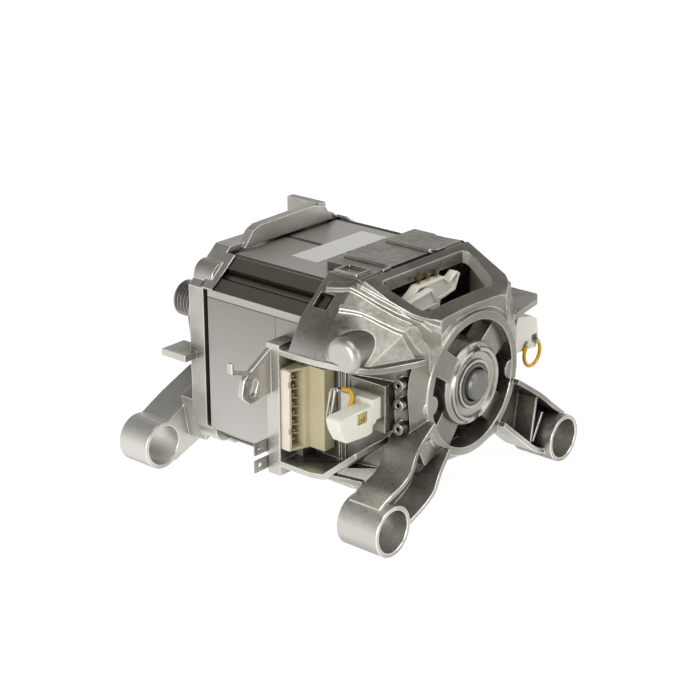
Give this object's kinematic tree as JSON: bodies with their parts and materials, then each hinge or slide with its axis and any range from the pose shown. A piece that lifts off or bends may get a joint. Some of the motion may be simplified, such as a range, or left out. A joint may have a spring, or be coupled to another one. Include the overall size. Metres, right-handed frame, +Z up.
{
  "type": "washing machine motor",
  "caption": "Brushed washing machine drive motor with die-cast end shields, laminated stator, poly-V belt pulley, plug-in terminal block and tubular feet.",
  "frame": {"origin": "on the shaft axis, in the middle of the pulley's belt grooves", "axes": "+Y along the shaft towards the pulley, +Z up away from the feet, +X to the right seen from the commutator end"},
  "size_m": [0.1798, 0.2047, 0.124],
  "materials": {
    "cast_front": "as cast, dull grey",
    "cast_rear": "as cast, pale",
    "lamination": "stacked steel sheet",
    "steel": "machined",
    "bolt_steel": "zinc plated",
    "armature_steel": "stacked steel sheet, lacquered",
    "copper": "enamelled copper wire",
    "commutator_copper": "turned copper",
    "phenolic": "moulded",
    "magnet": "sintered, dull",
    "liner": "insulating film",
    "cream_plastic": "moulded",
    "white_plastic": "moulded",
    "black_plastic": "moulded",
    "brass": "stamped",
    "carbon": "pressed carbon",
    "spring_steel": "drawn wire",
    "yellow_wire": "extruded insulation",
    "label_film": "blank foil label"
  },
  "bodies": {
    "housing": {"stator_core": "lamination", "field_coil_upper": "copper", "field_coil_lower": "copper", "slot_liners": "liner", "through_bolts": "bolt_steel", "rear_shield": "cast_rear", "front_shield": "cast_front", "front_ring": "cast_front", "front_spokes": "cast_front", "front_hub": "cast_front", "front_leg_left": "cast_front", "front_leg_right": "cast_front", "side_box": "cast_front", "bay_roof": "cast_front", "tacho_coil": "black_plastic", "front_bearing_outer": "steel", "rear_bearing_outer": "steel", "spring_washer": "spring_steel", "terminal_block": "cream_plastic", "terminal_pins": "brass", "brush_holder_left": "white_plastic", "brush_holder_right": "white_plastic", "brush_guide_left": "brass", "brush_guide_right": "brass", "brush_spring_left": "spring_steel", "brush_spring_right": "spring_steel", "brush_terminal_left": "brass", "brush_terminal_right": "brass", "brush_lead_left": "yellow_wire", "brush_lead_right": "yellow_wire", "brush_bridge": "white_plastic", "bridge_pins": "brass", "earth_tabs": "steel", "rating_label": "label_film"},
    "rotor": {"rotor_shaft": "steel", "armature_core": "armature_steel", "armature_winding": "copper", "commutator_hub": "phenolic", "commutator_bars_set": "commutator_copper", "pulley": "steel", "tacho_magnet": "magnet", "front_bearing_inner": "steel", "rear_bearing_inner": "steel"},
    "front_balls": {"front_bearing_balls": "steel"},
    "rear_balls": {"rear_bearing_balls": "steel"},
    "left_brush": {"brush_left": "carbon"},
    "right_brush": {"brush_right": "carbon"}
  },
  "joints": [
    {"name": "rotor_spin", "type": "hinge", "parent": "housing", "child": "rotor", "pos_m": [0, 0, 0], "axis": [0, 1, 0], "continuous": true},
    {"name": "front_cage_spin", "type": "hinge", "parent": "housing", "child": "front_balls", "pos_m": [0, -0.179, 0], "axis": [0, 1, 0], "continuous": true},
    {"name": "rear_cage_spin", "type": "hinge", "parent": "housing", "child": "rear_balls", "pos_m": [0, -0.0245, 0], "axis": [0, 1, 0], "continuous": true},
    {"name": "left_brush_slide", "type": "slide", "parent": "housing", "child": "left_brush", "axis": [-1, 0, 0], "range_m": [0, 0.006], "stiffness_N_per_m": 400, "springref_m": -0.01, "deforming": ["brush_spring_left"]},
    {"name": "right_brush_slide", "type": "slide", "parent": "housing", "child": "right_brush", "axis": [1, 0, 0], "range_m": [0, 0.006], "stiffness_N_per_m": 400, "springref_m": -0.01, "deforming": ["brush_spring_right"]}
  ],
  "couplings": [
    {"joint": "front_cage_spin", "follows": "rotor_spin", "ratio": 0.3648},
    {"joint": "rear_cage_spin", "follows": "rotor_spin", "ratio": 0.381}
  ]
}
